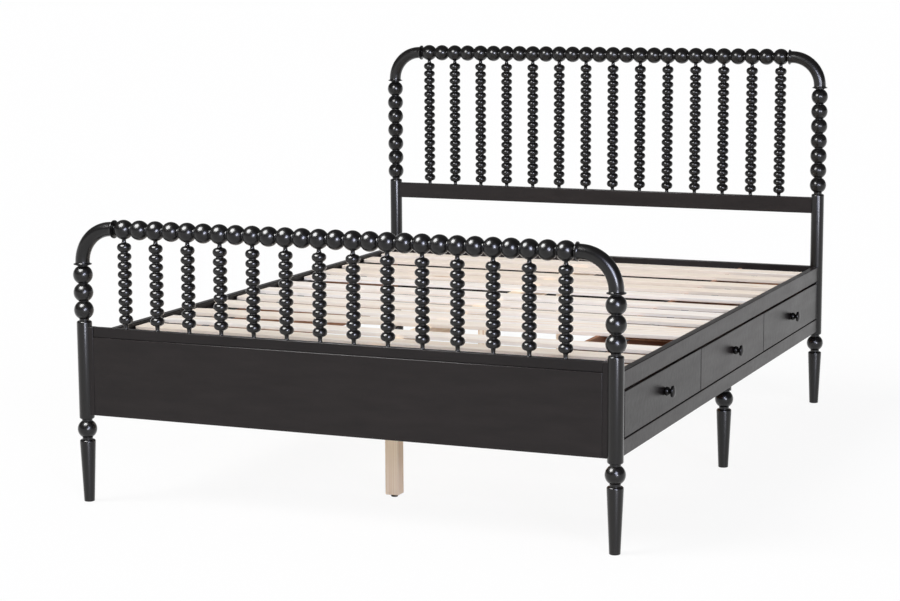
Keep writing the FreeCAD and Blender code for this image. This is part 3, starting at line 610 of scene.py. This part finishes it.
legSize = {"foot": 13.6, "footEase": 1.0, "shoulder": 20.4, "shoulderHeight": 162.5, "ease": 4.8,
           "neck": 13.5, "ball": 25.0, "ballHeight": 190.0, "arcSteps": 9,
           "stub": {"front_legs": 0, "rear_legs": 0, "middle_legs": 14.0}}


def legOutline(top, stub):
    # tapered foot, round shoulder, neck, ball, and a stub as wide as a post where one is wanted
    size = legSize
    end = (size["neck"], math.sqrt(size["ball"] ** 2 - size["neck"] ** 2))
    outline = [(size["foot"] - size["footEase"], 0), (size["foot"], size["footEase"]),
               roundOver(size["shoulder"], size["ease"], size["shoulderHeight"], -1),
               (size["neck"], size["shoulderHeight"]),
               beadArc(size["ballHeight"], size["ball"], end, end, size["arcSteps"]),
               (size["neck"], top - stub)]
    if stub:
        outline += [(postSize["radius"], top - stub), (postSize["radius"], top)]
    return profile(*outline)


for node, stub in legSize["stub"].items():
    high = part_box(node)[1]
    y = centreOf(node)[1]
    outline = legOutline(high.z / mm, stub)
    x = high.x - legSize["ball"] * mm
    putPiece(node, [spun(outline, (side * x, y, 0)) for side in (-1, 1)], turnedLacquer)
print("legs turned")


# Lacquered boards that are one plain board each: the axis the grain follows, edge radius in mm
boardEase = {"headboard_lower_rail": (0, 2.0), "headboard_panel": (0, 1.6),
             "footboard_panel": (0, 1.8), "footboard_cap_rail": (0, 2.0),
             "side_rail_left": (1, 1.8), "drawer_frame_top_rail": (1, 1.8),
             "drawer_frame_bottom_rail": (1, 1.6)}
for node, (axis, ease) in boardEase.items():
    putPiece(node, [easedBoard(*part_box(node), axis, ease)], boardLacquer)

# A thin sheet in the brown of the drawers on the side rail's inner face, under the ledge, seen only
# through the gaps between the slats: painted shade, the dim brown under the deck
shadeSheetSize = {"thickness": 0.6, "ease": 0.2}
low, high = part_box("side_rail_left")
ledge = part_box("slat_ledges")[0].z
shadeSheet = easedBoard((high.x, low.y, low.z),
                    (high.x + shadeSheetSize["thickness"] * mm, high.y, ledge), 1, shadeSheetSize["ease"])
putPiece("side_rail_veneer", [shadeSheet], plywood, added=True)

# Boards in pairs at the two ends of their node's box: the axis they stand apart on, their width
# there in mm, and the axis of their grain
drawerGap = 3.5
footStile = (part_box("footboard_stiles")[1].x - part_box("footboard_panel")[1].x) / mm
drawerStile = (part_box("drawer_frame_stiles")[1].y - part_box("drawer_head_front")[1].y) / mm - drawerGap
pairSize = {"footboard_stiles": (0, footStile, 2), "drawer_frame_stiles": (1, drawerStile, 2),
            "slat_ledges": (0, 30.0, 1), "middle_leg_blocks": (0, 36.0, 1)}
pairEase = 1.4
for node, (apart, width, axis) in pairSize.items():
    low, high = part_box(node)
    nearHigh, farLow = high.copy(), low.copy()
    nearHigh[apart] = low[apart] + width * mm
    farLow[apart] = high[apart] - width * mm
    pair = [easedBoard(low, nearHigh, axis, pairEase), easedBoard(farLow, high, axis, pairEase)]
    putPiece(node, pair, boardLacquer)
print("boards planed")


# Pine slat deck in strapped sets, with one slat that has swung off its strap

slatSize = {"sets": (4, 4, 3, 2), "pitch": 134.0, "width": 69.0, "ease": 1.2, "sideGap": 5.0,
            "askew": 3, "askewDegrees": 3.8, "under": 1.3}
strapSize = {"width": 20.0, "end": 17.0, "ease": 0.6}
low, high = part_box("slats")
strapLow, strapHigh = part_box("slat_straps")
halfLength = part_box("drawer_frame_top_rail")[0].x - slatSize["sideGap"] * mm
halfWidth = slatSize["width"] * mm / 2
pitch = slatSize["pitch"] * mm
strapWidth, strapEnd = strapSize["width"] * mm, strapSize["end"] * mm
strapped = sum(count - 1 for count in slatSize["sets"]) * pitch
setStep = (high.y - low.y - 2 * halfWidth - strapped) / (len(slatSize["sets"]) - 1)
slatTubes, strapTubes = [], []
y = low.y + halfWidth
for count in slatSize["sets"]:
    first = y
    for i in range(count):
        y = first + i * pitch
        slat = easedBoard((-halfLength, y - halfWidth, low.z - slatSize["under"] * mm),
                          (halfLength, y + halfWidth, high.z), 0, slatSize["ease"])
        swing = slatSize["askewDegrees"] if len(slatTubes) == slatSize["askew"] else 0
        slatTubes.append(turnedAbout(slat, (-halfLength, y, 0), swing))
    for x in (strapLow.x, strapHigh.x - strapWidth):
        strapTubes.append(easedBoard((x, first - strapEnd, strapLow.z),
                                     (x + strapWidth, y + strapEnd, strapHigh.z), 1,
                                     strapSize["ease"]))
    y += setStep
putPiece("slats", slatTubes, slatPine)
putPiece("slat_straps", strapTubes, webbing)

beamEase = 2.0
putPiece("center_beam", [easedBoard(*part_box("center_beam"), 1, beamEase)], legPine)

centerLegSize = {"width": 37.0, "ease": 3.0}
low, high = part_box("center_legs")
halfLeg = centerLegSize["width"] * mm / 2
legTubes = []
for y in (low.y + halfLeg, (low.y + high.y) / 2, high.y - halfLeg):
    legTubes.append(easedBoard((low.x, y - halfLeg, low.z), (high.x, y + halfLeg, high.z), 2,
                               centerLegSize["ease"]))
putPiece("center_legs", legTubes, legPine)

levellerSize = {"radius": 9.0, "pad": 5.0, "rim": 1.25, "stem": 4.0, "length": 40.0,
                "segments": 32}
for place in alongBed:
    size = levellerSize
    node = f"leveller_{place}"
    x, y = centreOf(node)[:2]
    outline = profile(roundOver(size["radius"], size["rim"], 0, 1),
                      roundOver(size["radius"], size["rim"], size["pad"], -1),
                      (size["stem"], size["pad"]), (size["stem"], size["pad"] + size["length"]))
    putPiece(node, [spun(outline, (x, y, 0), segments=size["segments"])], plastic, node)
print("deck laid")


# Drawer case and drawers

caseEase = 0.8
putPiece("drawer_case_back", [easedBoard(*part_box("drawer_case_back"), 1, caseEase)], plywood)

partitionSize = {"count": 4, "thickness": 15.0}
low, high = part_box("drawer_partitions")
thickness = partitionSize["thickness"] * mm
partitionTubes = []
for y in np.linspace(low.y, high.y - thickness, partitionSize["count"]):
    partitionTubes.append(easedBoard((low.x, y, low.z), (high.x, y + thickness, high.z), 0,
                                     caseEase))
putPiece("drawer_partitions", partitionTubes, plywood)

knobSize = {"foot": 8.5, "base": 11.2, "baseRise": 5.5, "baseFall": 8.5, "waist": 5.8,
            "flare": 4.0, "head": 14.8, "rim": 6.0, "rimDrop": 1.0, "dome": 3.0, "tip": 1.0,
            "rimSteps": 9, "domeSteps": 8, "segments": 40}


def knobOutline():
    # bulging base, waist, cove to the head, a half round rim and a dome that falls off as the
    # radius squared
    size = knobSize
    headStart = size["baseRise"] + size["baseFall"] + size["flare"]
    domeStart = headStart + size["rim"]
    edge = size["head"] - size["rimDrop"]
    base = beadArc(size["baseRise"], size["base"], (size["foot"], size["baseRise"]),
                   (size["waist"], size["baseFall"]))
    flare = cove(edge, size["waist"], headStart, -size["flare"])[::-1]
    turn = np.linspace(0, math.pi, size["rimSteps"])
    rim = np.stack([edge + size["rimDrop"] * np.sin(turn),
                    headStart + size["rim"] * turn / math.pi], -1)
    radius = np.linspace(edge, size["tip"], size["domeSteps"])
    dome = np.stack([radius, domeStart + size["dome"] * (1 - (radius / edge) ** 2)], -1)
    return profile(base, flare[1:-1], rim, dome[1:])


drawerSize = {"wall": 12.0, "frontEase": 1.6, "wallEase": 1.0, "bottomEase": 0.5,
              "bottomLift": 13.0}
for place in alongBed:
    body = f"drawer_{place}"
    node = body + "_front"
    front = easedBoard(*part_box(node), 1, drawerSize["frontEase"])
    putPiece(node, [front], boardLacquer, body)
    node = body + "_walls"
    low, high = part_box(node)
    wall, lift = drawerSize["wall"] * mm, drawerSize["bottomLift"] * mm
    ease = drawerSize["wallEase"]
    walls = [easedBoard(low, (high.x, low.y + wall, high.z), 0, ease),
             easedBoard((low.x, high.y - wall, low.z), high, 0, ease),
             easedBoard((low.x, low.y + wall, low.z + lift),
                        (low.x + wall, high.y - wall, high.z), 1, ease)]
    putPiece(node, walls, plywood, body)
    node = body + "_bottom"
    bottom = easedBoard(*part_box(node), 1, drawerSize["bottomEase"])
    putPiece(node, [bottom], plywood, body)
    node = body + "_knob"
    y, z = centreOf(node)[1:]
    knob = spun(knobOutline(), (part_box(node)[0].x, y, z), (1, 0, 0), knobSize["segments"])
    putPiece(node, [knob], knobLacquer, body)
print("drawers made")


# Steel and dowels keep their own solids

slots = {part["node"]: part["material_slot"] for part in frame["record"]["subparts"]}
for node, piece in frame["nodes"].items():
    if slots[node] in hardware:
        piece.data.materials.clear()
        piece.data.materials.append(hardware[slots[node]])
print("hardware finished")


# Floor, light and camera

floorLook = {"half": 150.0, "colour": "#f8f8f8", "white": 0.9}
half = floorLook["half"]
mesh = bpy.data.meshes.new("studioFloor")
mesh.from_pydata([(-half, -half, 0), (half, -half, 0), (half, half, 0), (-half, half, 0)], [],
                 [(0, 1, 2, 3)])
floorMaterial, tree = newMaterial("paleStudioFloor")
path = addNode(tree, "ShaderNodeLightPath")
seen = addNode(tree, "ShaderNodeMath", {
    0: path.outputs["Is Camera Ray"], 1: path.outputs["Is Glossy Ray"]}, operation="MAXIMUM")
through = addNode(tree, "ShaderNodeMath", {
    0: seen.outputs[0], 1: path.outputs["Is Transmission Ray"]}, operation="MAXIMUM")
share = addNode(tree, "ShaderNodeMath", {0: through.outputs[0], 1: floorLook["white"]},
                operation="MULTIPLY")
matt = addNode(tree, "ShaderNodeBsdfDiffuse", {"Color": linear(floorLook["colour"])})
white = addNode(tree, "ShaderNodeEmission", {"Strength": 1.0})
mixed = addNode(tree, "ShaderNodeMixShader", {
    0: share.outputs[0], 1: matt.outputs[0], 2: white.outputs[0]})
addNode(tree, "ShaderNodeOutputMaterial", {"Surface": mixed.outputs[0]})
mesh.materials.append(floorMaterial)
floor = bpy.data.objects.new("studioFloor", mesh)
bpy.context.scene.collection.objects.link(floor)

# A pale sweep round the floor that fades to a dim ceiling between two heights, which are sines of
# the angle above level
roomLook = {"colour": "#fbfbfc", "sweep": 0.97, "ceiling": 0.12, "sweepBend": 0.08,
            "sweepTop": 0.16}
world = bpy.data.worlds.new("studioWorld")
bpy.context.scene.world = world
world.use_nodes = True
tree = world.node_tree
tree.nodes.clear()
place = addNode(tree, "ShaderNodeTexCoord")
height = addNode(tree, "ShaderNodeSeparateXYZ", {0: place.outputs["Generated"]})
fade = addNode(tree, "ShaderNodeMapRange", {
    "Value": height.outputs["Z"], "From Min": roomLook["sweepBend"],
    "From Max": roomLook["sweepTop"], "To Min": roomLook["sweep"],
    "To Max": roomLook["ceiling"]}, interpolation_type="SMOOTHSTEP")
glow = addNode(tree, "ShaderNodeBackground", {
    "Color": linear(roomLook["colour"]), "Strength": fade.outputs["Result"]})
addNode(tree, "ShaderNodeOutputWorld", {"Surface": glow.outputs[0]})


def hangLamp(lamp, place, way, colour, onMatt):
    # the lamp shines against way, and lights matt surfaces alone or shows in glossy ones alone
    lamp.color = linear(colour)[:3]
    holder = bpy.data.objects.new(lamp.name, lamp)
    holder.visible_camera = False
    holder.visible_diffuse, holder.visible_glossy = onMatt, not onMatt
    holder.location = place
    holder.rotation_euler = way.to_track_quat("Z", "Y").to_euler()
    bpy.context.scene.collection.objects.link(holder)


# Distant soft lamps: direction towards the lamp, strength, width in degrees, colour, on matt or not
lampDistance = 6.0
distantLamps = {"keyLeft": ((-0.594, -0.446, 0.675), 2.2, 30, "#fffefc", True),
                "topSoft": ((0.0, -0.2, 0.98), 1.04, 100, "#ffffff", True),
                "fillRight": ((0.649, -0.687, 0.303), 1.2, 13, "#dfe4ff", True),
                "gleamLow": ((0.63, -0.77, 0.1), 2.0, 16, "#eef0ff", False)}
for name, (way, strength, degrees, colour, onMatt) in distantLamps.items():
    lamp = bpy.data.lights.new(name, "SUN")
    lamp.energy = strength
    lamp.angle = math.radians(degrees)
    hangLamp(lamp, Vector(way) * lampDistance, Vector(way), colour, onMatt)

# Round lamps near the footboard, for gloss alone, so that the headboard's gleam is smaller and
# weaker: place, point aimed at, width in metres, watts, colour
nearLamps = {"gleamLeft": ((-0.93, -2.08, 2.45), (0.0, -0.9, 0.6), 1.6, 190.0, "#ffffff"),
             "gleamRight": ((1.95, -3.06, 1.51), (0.0, -1.0, 0.6), 1.25, 100.0, "#dfe4ff")}
for name, (place, aim, width, watts, colour) in nearLamps.items():
    lamp = bpy.data.lights.new(name, "AREA")
    lamp.shape = "DISK"
    lamp.size = width
    lamp.energy = watts
    hangLamp(lamp, place, Vector(place) - Vector(aim), colour, False)

# The photograph's camera: width and focal length in pixels, place and far clip in metres, angles
# in degrees, sensor in mm
photo = {"width": 900, "focal": 2237.7, "place": (2.331, -5.818, 1.375), "azimuth": 22.771,
         "elevation": 8.631, "roll": -0.285, "sensor": 36.0, "farClip": 500.0}
azimuth, elevation, roll = (math.radians(photo[key]) for key in ("azimuth", "elevation", "roll"))
forward = np.array((-math.sin(azimuth) * math.cos(elevation),
                    math.cos(azimuth) * math.cos(elevation), -math.sin(elevation)))
right = np.array((math.cos(azimuth), math.sin(azimuth), 0))
up = np.cross(right, forward)
turn = np.eye(4)
turn[:3, 0] = math.cos(roll) * right + math.sin(roll) * up
turn[:3, 1] = -math.sin(roll) * right + math.cos(roll) * up
turn[:3, 2] = -forward
turn[:3, 3] = photo["place"]
lens = bpy.data.cameras.new("photoCamera")
lens.sensor_width = photo["sensor"]
lens.lens = photo["focal"] / photo["width"] * photo["sensor"]
lens.clip_end = photo["farClip"]
camera = bpy.data.objects.new("photoCamera", lens)
camera.matrix_world = Matrix(turn.tolist())
bpy.context.scene.collection.objects.link(camera)
bpy.context.scene.camera = camera
bpy.context.scene.view_settings.view_transform = "Standard"
print("studio set")
